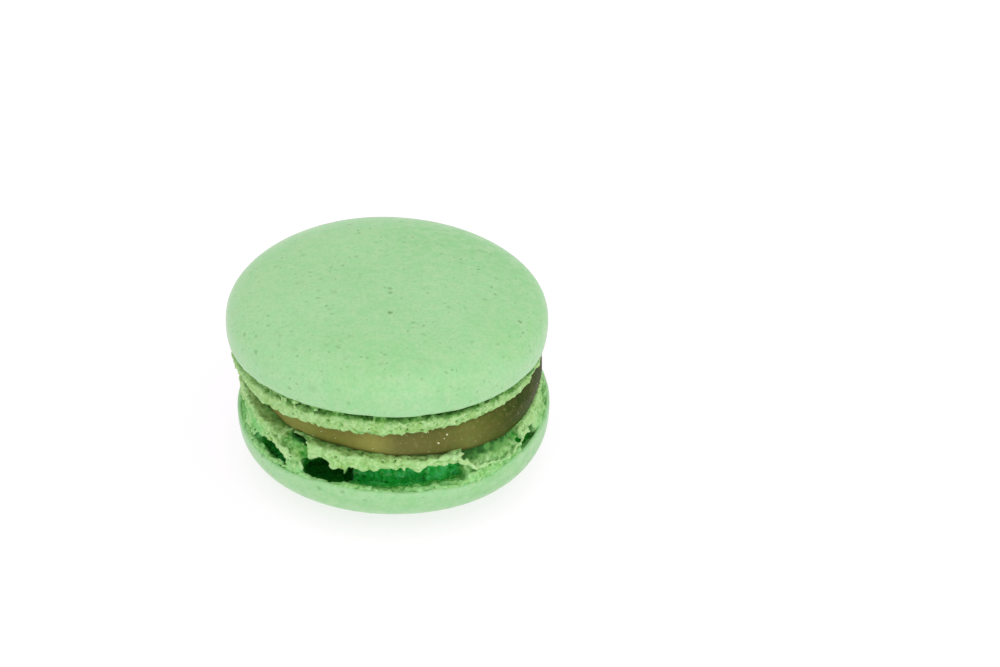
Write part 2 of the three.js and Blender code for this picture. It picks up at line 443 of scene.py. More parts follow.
round_points = points_of(lower_skin_mesh)
near_edge = np.clip((round_points[:, 2] - EDGE_FOOT) / (LOWER_RIM - EDGE_FOOT), 0, 1) ** 2
lift = by_bearing(round_points, EDGE_HEIGHTS) + 0.16 * MM * wavy(round_points, 2.4 * MM, 5)
on_wall = np.clip(round_points[:, 2] / (2 * MM), 0, 1)
inward = 1 - 0.0025 * on_wall * (1 + wavy(round_points, 8 * MM, 4))
round_points[:, :2] *= inward[:, None]
round_points[:, 2] += near_edge * lift
set_points_of(lower_skin_mesh, to_outline(round_points, lower_outline))
lower_skin = piece_from(lower_skin_mesh, "lower_skin")
print("lower skin:", len(lower_skin_mesh.polygons), "faces")

# %% [markdown]
# ## Crumb from a volume
#
# The feet are foam: lumps, burst bubbles, torn caves and thin bridges. A displaced surface can't have
# overhangs, and sculpting isn't repeatable. A volume is carved by formulas: each point gets a number,
# positive inside the crumb and negative in the air, and Volume to Mesh finds the skin where it is zero. The
# number is about the distance to the surface, so cutting is a minimum and joining a maximum.

# %% Running a geometry recipe
def geometry_recipe(name, sizes):
    """A geometry tree with named inputs. Returns the recipe and a wire for each size."""
    tree = bpy.data.node_groups.new(name, "GeometryNodeTree")
    tree.interface.new_socket("Geometry", in_out="INPUT", socket_type="NodeSocketGeometry")
    tree.interface.new_socket("Geometry", in_out="OUTPUT", socket_type="NodeSocketGeometry")
    for label, value in sizes.items():
        socket = tree.interface.new_socket(label, in_out="INPUT", socket_type="NodeSocketFloat")
        socket.default_value = value
    recipe = Recipe(tree)
    recipe.start = recipe.add("NodeGroupInput")
    return recipe, {label: recipe.start.also(label) for label in sizes}


def finish_recipe(recipe, geometry, material):
    """The last three nodes of every tree: real geometry, its material, and the way out."""
    real = recipe.add("GeometryNodeRealizeInstances", {}, {0: geometry})
    dressed = recipe.add("GeometryNodeSetMaterial", {}, {"Geometry": real, "Material": material})
    recipe.add("NodeGroupOutput", {}, {0: dressed})


# %% [markdown]
# A modifier works on an object. So a holder carries the mesh, the modifier changes it, and the result is
# copied out as a plain mesh. Decimate keeps the number of triangles within bounds.

# %% Running a modifier once
MOST_TRIANGLES = 195000  # of one foot


def result_of(mesh, kind, set_up):
    """The plain mesh that a modifier of a kind makes of a mesh."""
    holder = bpy.data.objects.new("holder", mesh)
    scene.collection.objects.link(holder)
    modifier = holder.modifiers.new("once", kind)
    set_up(modifier)
    result = bpy.data.meshes.new_from_object(holder.evaluated_get(bpy.context.evaluated_depsgraph_get()))
    holder.modifiers.remove(modifier)
    bpy.data.objects.remove(holder)
    return result


def mesh_from_recipe(recipe, sizes, start_mesh=None):
    """Runs a geometry tree on a mesh, or on an empty one."""
    def set_up(modifier):
        modifier.node_group = recipe.tree
        for item in recipe.tree.interface.items_tree:
            if item.item_type == "SOCKET" and item.in_out == "INPUT" and item.name in sizes:
                modifier[item.identifier] = float(sizes[item.name])

    return result_of(start_mesh or bpy.data.meshes.new("empty"), "NODES", set_up)


def triangles_of(mesh):
    return sum(len(p.vertices) - 2 for p in mesh.polygons)


def thin_out(mesh):
    """Joins the flattest faces until a mesh has few enough triangles."""
    share = min(1, MOST_TRIANGLES / triangles_of(mesh))
    thin = result_of(mesh, "DECIMATE", lambda modifier: setattr(modifier, "ratio", share))
    print("thinned from", triangles_of(mesh), "to", triangles_of(thin), "triangles")
    return thin


# %% [markdown]
# Crumb is not smooth at any size. Over the plain form lie swells, lumps under a millimetre, grains that
# stand out like the florets of a cauliflower, and burst bubbles. Near a scattered point a grain adds crumb
# and a bubble takes it away.

# %% Baked crumb
def bent(place, size, reach):
    """A place pushed about by noise, so that nothing built on it is straight or round."""
    recipe = place.recipe
    push = recipe.add("ShaderNodeTexNoise", {}, {"Vector": place, "Scale": 1 / size, "Detail": 2.0}, "Color")
    push = recipe.vector("SUBTRACT", push, Vector((0.5, 0.5, 0.5)))
    return recipe.vector("ADD", place, recipe.scaled(push, reach))


GRAINS = [(1.15 * MM, 0.42), (0.52 * MM, 0.5)]  # spacing and height of two kinds
BUBBLE_SPACING = 0.95 * MM


def baked(body, place, sizes, grainy=1.0):
    """Roughens a smooth distance into crumb. Where grainy is below 1, its grains are lower."""
    rough = body + lumps(place, 2.1 * MM, 3) * sizes["Swell"]
    rough = rough + lumps(place, 0.7 * MM, 3) * sizes["Lump"]
    loose = bent(place, 0.8 * MM, 0.8 * MM)
    for size, height in GRAINS:
        far = cells(loose, size)[0]
        rough = rough + (0.42 * size - far) * height * sizes["Grain"] * grainy
    far, chance = cells(loose, BUBBLE_SPACING)
    bubble = far - (chance * 0.56 - 0.22) * BUBBLE_SPACING
    return rough.soft_low(bubble.high(rough - sizes["Pit"]), 0.22 * MM)


# %% [markdown]
# The last nodes are the same for both feet. Loose bodies are found by counting the faces of each island. A
# blurred copy of the surface tells ridges from pits, because a ridge lies outside it.

# %% Carving
CARVE_REACH = 23.6 * MM  # half the width of the volume
SMALLEST_BODY = 20000.0  # in faces
RIDGE_BLUR = 7


def carve(recipe, field, floor, top, sizes, material):
    """Turns a distance field between two heights into a clean mesh with its ridges marked."""
    density = recipe.add("ShaderNodeClamp", {}, {"Value": field / (1.6 * sizes["Voxel"]) + 0.5})
    low = Vector((-CARVE_REACH, -CARVE_REACH, floor))
    span = Vector((CARVE_REACH, CARVE_REACH, top)) - low
    sockets = {"Density": density, "Min": low, "Max": low + span}
    for axis, length in zip("XYZ", span):
        sockets[f"Resolution {axis}"] = length / sizes["Voxel"]
    volume = recipe.add("GeometryNodeVolumeCube", {}, sockets)
    mesh = recipe.add("GeometryNodeVolumeToMesh", {}, {0: volume, "Threshold": 0.5})
    island = recipe.add("GeometryNodeInputMeshIsland")
    settings = {"data_type": "INT", "domain": "FACE"}
    faces = recipe.add("GeometryNodeAccumulateField", settings, {0: 1, "Group ID": island}, "Total")
    scrap = faces.math("LESS_THAN", SMALLEST_BODY)
    mesh = recipe.add("GeometryNodeDeleteGeometry", {"domain": "FACE"}, {0: mesh, "Selection": scrap})
    place = recipe.add("GeometryNodeInputPosition")
    settings = {"data_type": "FLOAT_VECTOR"}
    softened = recipe.add("GeometryNodeBlurAttribute", settings, {"Value": place, "Iterations": RIDGE_BLUR})
    outwards = recipe.add("GeometryNodeInputNormal")
    ridge = recipe.vector("DOT_PRODUCT", recipe.vector("SUBTRACT", place, softened), outwards, out="Value")
    sockets = {0: mesh, "Name": "ridge", "Value": ridge / MM}
    mesh = recipe.add("GeometryNodeStoreNamedAttribute", {"data_type": "FLOAT"}, sockets)
    finish_recipe(recipe, mesh, material)


def polar(place):
    """Radius, bearing in degrees and height of a place."""
    x = place.part("X")
    y, z = x.also("Y"), x.also("Z")
    radius = (x * x + y * y).math("SQRT")
    bearing = x.math("ARCTAN2", -1 * y) * (180 / math.pi)
    return radius, bearing, z


# %% [markdown]
# ## Colours of crust, crumb and caramel
#
# The skin is a flat pastel green with freckles of ground almond. Deeper in the torn crumb the colour is
# painted
# darker and stronger: painted shade, and painted bounce light that has lost everything but green from wall
# to wall. Colours are written as they look on screen, from 0 to 255, and one function turns them into light.

# %% Colour from screen numbers
def seen(red, green, blue):
    """Linear colour from screen numbers."""
    parts = [c / 255 for c in (red, green, blue)]
    light = [c / 12.92 if c < 0.04045 else ((c + 0.055) / 1.055) ** 2.4 for c in parts]
    return (*light, 1.0)


def tinted(colour, share, tint, blend="MIX"):
    """A colour moved towards a screen colour by a share from 0 to 1."""
    return share.recipe.mix(share, colour, seen(*tint), blend=blend)


def multiplied(colour, share, tint):
    """A colour darkened by a screen colour, as a stain does it."""
    return tinted(colour, share, tint, "MULTIPLY")


print("the skin's green as light:", [round(part, 3) for part in seen(148, 206, 141)])


def new_material(name, **constants):
    """A material with its Principled shader's plain sockets set, and its recipe."""
    material = bpy.data.materials.new(name)
    material.use_nodes = True
    recipe = Recipe(material.node_tree)
    shader = material.node_tree.nodes["Principled BSDF"]
    for socket, value in constants.items():
        shader.inputs[socket.replace("_", " ")].default_value = value
    place = recipe.add("ShaderNodeTexCoord", {}, {}, "Object")
    return material, recipe, shader, place


# %% [markdown]
# ### Skin
#
# The skin's green is darker towards its rear right and underneath, more so on the right: both are painted
# shade. Pale mottles and a fine grain lie over it. Each is a mix of two colours, with a noise or a place as
# its share.

# %% Skin colour
def skin_colour(recipe, place):
    """The crust's green with its painted shade, before the freckles."""
    x = place.part("X")
    cloud = lumps(place, 11 * MM, 2).step(-0.2, 0.2)
    colour = recipe.mix(cloud, seen(148, 206, 141), seen(159, 211, 154))
    # painted shade: darker towards the rear right, with an uneven edge
    towards_rear_right = recipe.vector("DOT_PRODUCT", place, Vector((0.66, 0.75, 0)), out="Value")
    painted_shade_rear_right = (towards_rear_right + lumps(place, 9 * MM, 2) * 7 * MM).step(0.0, 20 * MM)
    colour = tinted(colour, painted_shade_rear_right * 0.65, (122, 198, 116))
    # painted shade underneath, stronger on the right
    underneath = 1 - x.also("Z").step(5 * MM, 12 * MM)
    on_the_right = x.step(0.0, 20 * MM)
    colour = tinted(colour, underneath * (0.4 + on_the_right * 0.45), (122, 188, 112))
    mottle = lumps(place, 1.5 * MM, 4).step(-0.2, 0.2)
    colour = tinted(colour, mottle * 0.7, (172, 211, 158))
    grainy = lumps(place, 0.45 * MM, 3).step(-0.15, 0.15)
    return tinted(colour, grainy * 0.3, (136, 192, 126))


# %% [markdown]
# Freckles are scattered points of four sizes, most of them too pale to notice and a few dark. A slow noise
# makes them crowd in some places.

# %% Freckles
FRECKLES = [
    (2.6, 0.85, 0.3, 0.35), (1.7, 0.45, 0.4, 1.0), (0.9, 0.27, 0.3, 0.9), (0.6, 0.17, 0.3, 0.65),
]  # spacing and widest reach in millimetres, rarity and strength


def freckled(place, colour):
    loose = bent(place, 0.4 * MM, 0.65 * MM)
    crowd = 0.35 + lumps(place, 5 * MM, 2).step(-0.15, 0.2) * 0.6
    for spacing, widest, rarity, strength in FRECKLES:
        far, chance = cells(loose, spacing * MM)
        reach = chance.step(rarity, 1.0) * (widest * MM) + 0.01 * MM
        freckle = 1 - (far / reach).step(0.2, 1.2)
        share = freckle * (0.2 + 0.8 * chance.also("Y")) * crowd * strength
        colour = tinted(colour, share, (92, 140, 76))
    return colour


# %% [markdown]
# The gloss is low and a little uneven. Fine dimples only show where the light grazes, so they are bump
# rather than shape.

# %% Skin material
def put_bump(recipe, shader, height, strength, depth):
    """Shades a surface as if it had the given heights, without moving it."""
    sockets = {"Strength": strength, "Distance": depth, "Height": height}
    recipe.put(shader.inputs["Normal"], recipe.add("ShaderNodeBump", {}, sockets, "Normal"))


def skin_material():
    material, recipe, shader, place = new_material(
        "almond_skin", Specular_IOR_Level=0.3, Subsurface_Weight=0.12, Subsurface_Scale=0.9 * MM,
        Coat_Weight=0.3, Coat_Roughness=0.26)
    recipe.put(shader.inputs["Base Color"], freckled(place, skin_colour(recipe, place)))
    recipe.put(shader.inputs["Roughness"], 0.42 + 0.14 * lumps(place, 3 * MM, 2))
    height = lumps(place, 0.5 * MM, 3) * 0.6 + lumps(place, 1.6 * MM, 2)
    put_bump(recipe, shader, height, 0.5, 0.06 * MM)
    return material


skin = skin_material()
print("skin material:", len(skin.node_tree.nodes), "nodes")

# %% [markdown]
# ### Crumb
#
# Two things set its colour: how far a point lies inside the foot's round outline, which paints shade and
# green bounce light deeper in, and whether it is a ridge or a pit, which was stored on the mesh while
# carving. Ridges get a painted highlight and pits painted shade. Stains multiply the colour.

# %% Crumb colours
# Colours by depth: painted shade and painted green bounce light, darker and stronger further inside.
PAINTED_DEPTH_SHADE_LOWER = [
    (0.0, (190, 227, 164)), (0.8, (172, 219, 142)), (1.7, (108, 192, 94)), (2.7, (70, 214, 100)),
    (4.6, (40, 212, 90)), (5.6, (16, 136, 34)), (6.4, (12, 112, 20)),
]  # millimetres inside the outline, and the colour there
PAINTED_DEPTH_SHADE_UPPER = [
    (0.0, (180, 218, 152)), (0.5, (162, 208, 130)), (1.0, (108, 164, 86)), (2.0, (58, 112, 38)),
]  # the same for the upper foot, whose bubbles don't go as deep


def ramp(value, stops):
    """A colour for each value, smooth between (value, screen colour) stops."""
    first, last = stops[0][0], stops[-1][0]
    spread = [((at - first) / (last - first), seen(*tint)) for at, tint in stops]
    return value.recipe.add("ShaderNodeValToRGB", {"stops": spread}, {0: (value - first) / (last - first)})


def stained(place, radius, z, colour):
    """Patches, grit and sand, a cooler green by the skin and caramel soaked in beside the filling."""
    patches = lumps(place, 1.8 * MM, 3).step(-0.1, 0.3)
    colour = multiplied(colour, patches * 0.5, (212, 222, 134))
    grit = lumps(place, 0.45 * MM, 3).step(-0.2, 0.2)
    colour = multiplied(colour, grit * 0.5, (166, 206, 150))
    sand = lumps(place, 0.2 * MM, 2).step(-0.15, 0.2)
    colour = multiplied(colour, sand * 0.3, (178, 204, 140))
    by_the_skin = 1 - z.step(9.4 * MM, 11.4 * MM)
    colour = multiplied(colour, by_the_skin * 0.8, (203, 241, 219))
    beside_filling = z.step(12.4 * MM, 13.4 * MM) - z.step(18.6 * MM, 19.4 * MM)
    soaked = (21.9 * MM - radius).step(0.0, 0.6 * MM) * beside_filling
    return tinted(colour, soaked * (0.35 + 0.4 * grit), (138, 158, 88))


# %% [markdown]
# Little light reaches the back of a deep cave. The render shows part of that by itself. A dark place puts
# the rest in the colour, between two bearings and two heights, with ragged ends.

# %% Dark places
def between(value, start, end, blur):
    """1 from start to end and 0 outside, smooth at both ends."""
    return value.step(start - blur, start + blur) - value.step(end - blur, end + blur)


def darkened(place, bearing, z, inside, colour, first, last, above, below, behind, share, tint, patches=None):
    ragged = bearing + lumps(place, 0.9 * MM, 2) * 4
    shade = between(ragged, first, last, 1.0) * between(z, above * MM, below * MM, 0.3 * MM)
    shade = shade * inside.step(behind, behind + 1.2)
    if patches:
        shade = shade * lumps(place, patches * MM, 2).step(-0.1, 0.15)
    return tinted(colour, shade * share, tint)


# %% Crumb material
def crumb_material(name, outline_radius, centre, depth_shade_stops, painted_light_and_shade_places, last_tint=None):
    material, recipe, shader, place = new_material(
        name, Roughness=0.78, Specular_IOR_Level=0.25, Subsurface_Weight=0.1, Subsurface_Scale=0.8 * MM)
    radius, bearing, z = polar(recipe.vector("SUBTRACT", place, Vector((*centre, 0))))
    uneven = lumps(place, 1.5 * MM, 2) * 0.12 * depth_shade_stops[-1][0]
    inside = (outline_radius - radius) / MM + uneven
    # painted shade and green bounce light by depth inside the outline
    colour = stained(place, radius, z, ramp(inside, depth_shade_stops))
    ridge = recipe.add("ShaderNodeAttribute", {"attribute_name": "ridge"}, {}, "Fac")
    # painted highlight on ridges
    colour = tinted(colour, ridge.step(0.0, 0.09) * 0.25, (186, 220, 160))
    # painted shade in pits
    pit = (-1 * ridge).step(0.0, 0.12)
    colour = multiplied(colour, pit * 0.75, (130, 180, 96))
    # painted bounce light: brighter green patches deep in the caves
    pale = lumps(place, 1.3 * MM, 2).step(-0.05, 0.2) * inside.step(2.2, 3.0)
    colour = tinted(colour, pale * 0.5, (110, 232, 150))
    # painted shade and bounce light in chosen places
    for dark in painted_light_and_shade_places:
        colour = darkened(place, bearing, z, inside, colour, *dark)
    if last_tint:
        colour = last_tint(recipe, place, colour)
    recipe.put(shader.inputs["Base Color"], colour)
    put_bump(recipe, shader, lumps(place, 0.22 * MM, 3), 0.5, 0.1 * MM)
    return material


# %% [markdown]
# ### Caramel
#
# Boiled sugar and cream: brown, with a dull dry film. Across the biscuit its colour carries painted light: a
# little painted green bounce light from the biscuits round it, a painted golden glow where light comes
# through it, and painted shade towards the right.

# %% Caramel material
# painted light in the caramel's colour: golden glow near -2.5 mm, painted shade towards the right
CARAMEL_COLOUR_AND_LIGHT = [
    (-15.0, (126, 131, 64)), (-12.0, (124, 134, 60)), (-8.0, (114, 118, 50)), (-5.5, (120, 123, 56)),
    (-2.5, (144, 145, 72)), (1.5, (104, 106, 54)), (7.0, (96, 100, 46)), (11.0, (106, 113, 52)),
    (14.0, (86, 96, 36)), (18.0, (40, 62, 4)),
]  # place across the biscuit in millimetres, and the colour there


def caramel_material():
    material, recipe, shader, place = new_material(
        "caramel", Specular_IOR_Level=0.05, Subsurface_Weight=0.2, Subsurface_Scale=1.2 * MM)
    # painted light and shade across the biscuit
    colour = ramp(place.part("X") / MM + lumps(place, 4 * MM, 2) * 3, CARAMEL_COLOUR_AND_LIGHT)
    flattened = recipe.vector("MULTIPLY", place, Vector((1, 1, 2.5)))
    streak = lumps(flattened, 2.2 * MM, 3).step(-0.2, 0.3)
    colour = tinted(colour, streak * 0.3, (110, 96, 50))
    dust = lumps(place, 0.5 * MM, 3).step(0.02, 0.25)
    colour = tinted(colour, dust * 0.25, (160, 152, 96))
    level = recipe.add("ShaderNodeAttribute", {"attribute_name": "level"}, {}, "Fac")
    # painted shade along the lower edge, and less along the upper one
    edge = 1 - level.step(0.0, 0.16) * (1 - level.step(0.86, 1.0) * 0.7)
    colour = tinted(colour, edge * 0.6, (54, 62, 22))
    recipe.put(shader.inputs["Base Color"], colour)
    recipe.put(shader.inputs["Roughness"], 0.48 + 0.2 * lumps(place, 0.9 * MM, 2))
    put_bump(recipe, shader, lumps(place, 0.45 * MM, 3), 0.4, 0.08 * MM)
    return material


caramel = caramel_material()
print("caramel material:", len(caramel.node_tree.nodes), "nodes")

# %% [markdown]
# ## The upper foot
#
# It is made in the upper shell's own frame, where the edge of the skin is at height zero, and tilted into
# place with the skin. Under the skin runs a broken crevice. Smooth lines through a few bearings say how far
# the foot hangs down and how high and deep the crevice runs.

# %% Upper foot sizes
VOXEL = 0.16 * MM  # the finest detail that a volume keeps
UPPER_CRUMB_RADIUS = 22.7 * MM
UPPER_PROFILE = [
    (-3.6, 21.6), (-3.0, 22.2), (-2.4, 22.6), (-1.6, 22.8), (-0.9, 22.9), (-0.3, 22.9), (0.5, 22.8),
]  # height and radius in millimetres
HANG = [
    (-180, 1.0), (-80, 1.0), (-70, 1.03), (-58, 1.2), (-41, 1.28), (-24, 1.16), (-12, 1.2), (0, 1.2),
    (11, 1.14), (22, 1.05), (35, 1.0), (180, 1.0),
]  # bearing, and how far the foot is stretched downwards
CREVICE_HEIGHTS = [
    (-180, -0.7), (-80, -0.8), (-50, -1.0), (-22, -0.9), (-10, -0.4), (20, -0.35), (60, -0.4), (180, -0.7),
]  # bearing, and millimetres above the edge of the skin
CREVICE_SHARES = [
    (-180, 0.8), (-60, 0.8), (-22, 0.9), (-15, 0.4), (-10, 1.0), (15, 1.2), (30, 2.2), (70, 1.8), (180, 0.9),
]  # bearing, and the share of the crevice's full depth


# %% [markdown]
# The crevice is too fine for the shape alone to hold all its shade. A last tint paints the rest: broken
# shade and dark spots in small pits, in a thin band along the tilted edge.

# %% Shade under the upper skin
def under_the_skin(recipe, place, colour):
    """Painted shade along the crevice, broken up, and spots of painted shade in small pits."""
    up = UPPER_TURN.to_matrix() @ Vector((0, 0, 1))
    from_edge = recipe.vector("SUBTRACT", place, UPPER_PLACE)
    height = recipe.vector("DOT_PRODUCT", from_edge, up, out="Value")
    ragged = height + lumps(place, 1.6 * MM, 3) * 1.6 * MM
    # painted shade, broken up, in a band under the skin
    broken = ragged.step(-1.5 * MM, -0.8 * MM) * lumps(place, 0.8 * MM, 2).step(-0.2, 0.1)
    colour = multiplied(colour, broken * 0.9, (143, 190, 126))
    # spots of painted shade in small pits
    pit_shade = ragged.step(-1.0 * MM, -0.5 * MM) * lumps(place, 0.5 * MM, 2).step(0.0, 0.12)
    return multiplied(colour, pit_shade * 0.8, (120, 170, 96))


crumb_up = crumb_material("crumb_upper", UPPER_CRUMB_RADIUS, UPPER_PLACE.xy, PAINTED_DEPTH_SHADE_UPPER, [], under_the_skin)
print("upper crumb material:", len(crumb_up.node_tree.nodes), "nodes")

# %% Upper foot
sizes = {
    "Voxel": VOXEL, "Swell": 0.8 * MM, "Lump": 0.6 * MM, "Grain": 1.0, "Crevice": 2.4 * MM, "Gap": 0.7 * MM,
    "Pit": 0.4 * MM,
}
recipe, size_of = geometry_recipe("upper foot", sizes)
place = recipe.add("GeometryNodeInputPosition")
radius, bearing, z = polar(place)
own_z = z / curve_through(bearing, HANG)
wall = curve_through(own_z / MM, UPPER_PROFILE) * MM - radius
gap_height = z - curve_through(bearing, CREVICE_HEIGHTS) * MM
gap = 1 - (gap_height / size_of["Gap"]).math("ABSOLUTE").low(1.0)
upright = recipe.vector("MULTIPLY", place, Vector((1, 1, 0.4)))
torn = lumps(upright, 1.5 * MM, 3).step(-0.14, 0.06)
body = wall - gap * torn * size_of["Crevice"] * curve_through(bearing, CREVICE_SHARES)
body = body.soft_low(own_z + UPPER_FOOT + 0.05 * MM, 0.5 * MM)
rough = baked(body, place, size_of).low(0.35 * MM - z)
carve(recipe, rough, -4.8 * MM, 0.8 * MM, size_of, crumb_up)
foot_mesh = thin_out(mesh_from_recipe(recipe, sizes))
set_points_of(foot_mesh, to_upper_place(to_outline(points_of(foot_mesh), upper_outline)))
upper_foot = piece_from(foot_mesh, "upper_foot")

# %% [markdown]
# ## The lower foot
#
# This is the face of the biscuit. Its outline is a profile, and its top a ledge that rises, falls and swings
# out.

# %% Lower foot outline
MOUTH_RADIUS = 22.3 * MM
LOWER_SEAT = 13.6 * MM  # the height at which the filling lies on the foot
LOWER_PROFILE = [
    (4.0, 21.0), (7.5, 22.6), (9.2, 23.1), (9.6, 22.9), (10.6, 22.3), (11.8, 22.0), (12.6, 22.05),
    (13.6, 22.1), (16.6, 21.8),
]  # height and radius in millimetres
LEDGE_HEIGHTS = [
    (-180, 14.3), (-130, 14.3), (-95, 14.1), (-77, 13.8), (-60, 13.7), (-48, 13.8), (-36, 14.5),
    (-20, 14.3), (0, 14.2), (12, 13.7), (20, 13.6), (26, 14.0), (31, 13.5), (45, 12.9), (62, 12.6),
    (80, 13.6), (110, 14.2), (180, 14.3),
]  # bearing and height in millimetres
LEDGE_OUT = [
    (-180, 0.2), (-120, 0.5), (-97, 0.9), (-84, 0.7), (-72, 0.1), (-60, 0.0), (180, 0.2),
]  # bearing, and how many millimetres the foot swings out


def lower_body(recipe, radius, bearing, z):
    """Distance inside the lower foot before anything is torn out of it."""
    wall = (curve_through(z / MM, LOWER_PROFILE) + curve_through(bearing, LEDGE_OUT)) * MM
    wall = wall.low(23.1 * MM) - radius
    ledge_top = curve_through(bearing, LEDGE_HEIGHTS) * MM
    on_ledge = radius.step(17.5 * MM, 21.0 * MM)
    top = recipe.mix(on_ledge, LOWER_SEAT, ledge_top, "FLOAT") - z
    return wall.soft_low(top, 0.7 * MM)


# %% [markdown]
# ### Torn caves
#
# The crumb rose, stuck to the tray and tore, so a row of caves runs round the foot under the ledge. Each is
# a soft box bent round the biscuit. Its floor may fall away or climb towards the back. The ledge's torn edge
# hangs down over them in places.

# %% Caves
LEAST_FLOOR = 5.6 * MM  # no cave breaks through to the skin
MM_PER_DEGREE = math.pi / 180 * MOUTH_RADIUS / MM
CAVES = [
    (-92, -61, 9.4, 11.6, 0.5, 0.0), (-63, -42, 9.3, 11.9, 4.0, 1.6),
    (-46, -33, 11.0, 17.0, 1.9, -1.0), (-45, -32, 13.0, 15.3, 4.4, 0.2),
    (-36, -18, 9.2, 13.3, 8.0, 2.5), (-56, -20, 7.6, 10.9, 8.0, 0.8, 1.6),
    (-22, 16, 9.3, 12.3, 4.3, 0.6), (12, 29, 9.3, 12.2, 3.2, 0.5),
    (28, 56, 10.1, 17.0, 2.3, -0.9), (56, 67, 8.7, 10.8, 2.6, 0.6),
    (84, 96, 9.6, 11.6, 2.6, 0.4), (93, 108, 9.9, 12.7, 3.6, 0.4),
    (112, 124, 11.2, 17.0, 1.6, -1.0), (126, 145, 9.4, 11.9, 4.6, 0.6),
    (141, 158, 10.1, 12.7, 3.2, 0.3), (164, 180, 11.0, 17.0, 1.8, -1.0),
    (183, 197, 9.7, 12.2, 3.0, 0.4), (212, 229, 9.5, 12.6, 5.0, 0.7),
    (225, 239, 9.9, 11.8, 3.2, 0.5), (248, 262, 9.8, 12.0, 1.8, 0.2),
]  # from and to bearing, floor, roof, depth, the floor's fall for each mm inwards, perhaps a lip, in mm
ROOF_SAG = [
    (-180, 0), (-170, 0.5), (-150, 0.0), (-142, 1.0), (-135, 0.1), (-127, 0.6), (-112, 0), (-104, 0.6),
    (-97, 0.3), (-75, 0.8), (-66, 1.9), (-59, 1.5), (-50, 0.8), (-40, 1.0), (-35, 1.8), (-30, 1.1),
    (-26, 0.7), (-21, 2.0), (-17, 1.3), (-14, 0.1), (-8, 0.6), (0, 0.1), (10, 0.4), (16, 0), (84, 0),
    (91, 0.7), (96, 0.1), (104, 0.6), (126, 0), (134, 0.8), (140, 0.2), (149, 0.9), (156, 0.1), (180, 0),
]  # bearing, and how many millimetres the ledge's torn lower edge hangs down


def outside_cave(radius, bearing, z, sag, first, last, floor, roof, depth, dip, lip=None):
    """Distance to a cave's wall, positive in the crumb round it."""
    turned = (bearing - (first + last) / 2).math("WRAP", 180.0, -180.0).math("ABSOLUTE")
    across = turned * MM_PER_DEGREE * MM - (last - first) / 2 * MM_PER_DEGREE * MM
    inward = MOUTH_RADIUS - radius
    behind = inward.high(0.0)
    under = (floor * MM - behind * dip).high(LEAST_FLOOR) - z
    over = z - roof * MM + sag + behind * 0.15
    room = across.soft_high(under.high(over), 0.9 * MM).soft_high(inward - depth * MM, 1.4 * MM)
    return room.soft_high(lip * MM - inward, 0.6 * MM) if lip else room


print(len(CAVES), "caves")

# %% [markdown]
# ### Strands
#
# Some crumb stretched without tearing and crosses the openings in thin strands. Each follows a line of
# bearings and heights.

# %% Strands
STRAND_RADIUS = 22.5 * MM
STRANDS = [
    {"path": [(24, 13.6), (28, 12.4), (33, 10.9), (39, 10.2), (46, 10.1), (54, 10.6), (60, 12.0)],
     "thick": 0.36},
    {"path": [(-49, 13.4), (-46, 12.4), (-43, 11.4), (-40, 10.6), (-35, 9.8)], "thick": 0.4},
]  # bearings and heights along each, and half its thickness


def inside_strand(strand, radius, bearing, z):
    """Distance to a strand's surface, positive inside it."""
    path = strand["path"]
    first, last = path[0][0], path[-1][0]
    level = z - curve_through(bearing.high(float(first)).low(float(last)), path) * MM
    beyond = (first - bearing).high(bearing - last).high(0.0) * MM_PER_DEGREE * MM
    out = radius - STRAND_RADIUS
    far = (level * level * 0.6 + out * out + beyond * beyond).math("SQRT")
    return strand["thick"] * MM - far


# %% [markdown]
# ### Where little light comes in
#
# Painted shade makes the caves on the left the darkest and the scoop on the right darker in patches. The slit
# on the left gets a strong painted green, for the bounce light in its shade.

# %% Lower crumb material
# painted shade, except the slit from -63 to -48, which gets a painted green bounce light
PAINTED_LIGHT_AND_SHADE = [
    (-38, -22, 4, 11.8, 0.2, 1.0, (16, 128, 24)),
    (-63, -48, 6, 11.4, 0.2, 0.9, (24, 230, 56)),
    (-49, -30, 4, 11.8, 2.4, 1.0, (16, 128, 24)),
    (-49, -42, 4, 11.8, 1.2, 1.0, (16, 128, 24)),
    (-98, -58, 8.6, 12.4, -0.4, 0.6, (104, 204, 116)),
    (-46, -36, 12.2, 16, 1.4, 0.9, (14, 84, 12)),
    (27, 57, 10.6, 16, 0.0, 0.85, (92, 156, 74)),
    (26, 57, 11.2, 16, -0.3, 0.9, (34, 96, 30), 1.3),
    (26, 36, 11.4, 16, 0.3, 0.8, (40, 96, 30)),
    (55, 70, 4, 11.4, 0.2, 0.9, (16, 190, 40)),
]  # from and to bearing, lowest, highest and how far inside in mm, share, tint, perhaps size of patches in mm

crumb_low = crumb_material("crumb_lower", MOUTH_RADIUS, (0, 0), PAINTED_DEPTH_SHADE_LOWER, PAINTED_LIGHT_AND_SHADE)
print("lower crumb material:", len(crumb_low.node_tree.nodes), "nodes")

# %% [markdown]
# ### Carving the lower foot
#
# The caves are cut out of the plain body and the strands joined to it. Places are bent by a noise first,
# coarse and then fine, so no edge is straight.

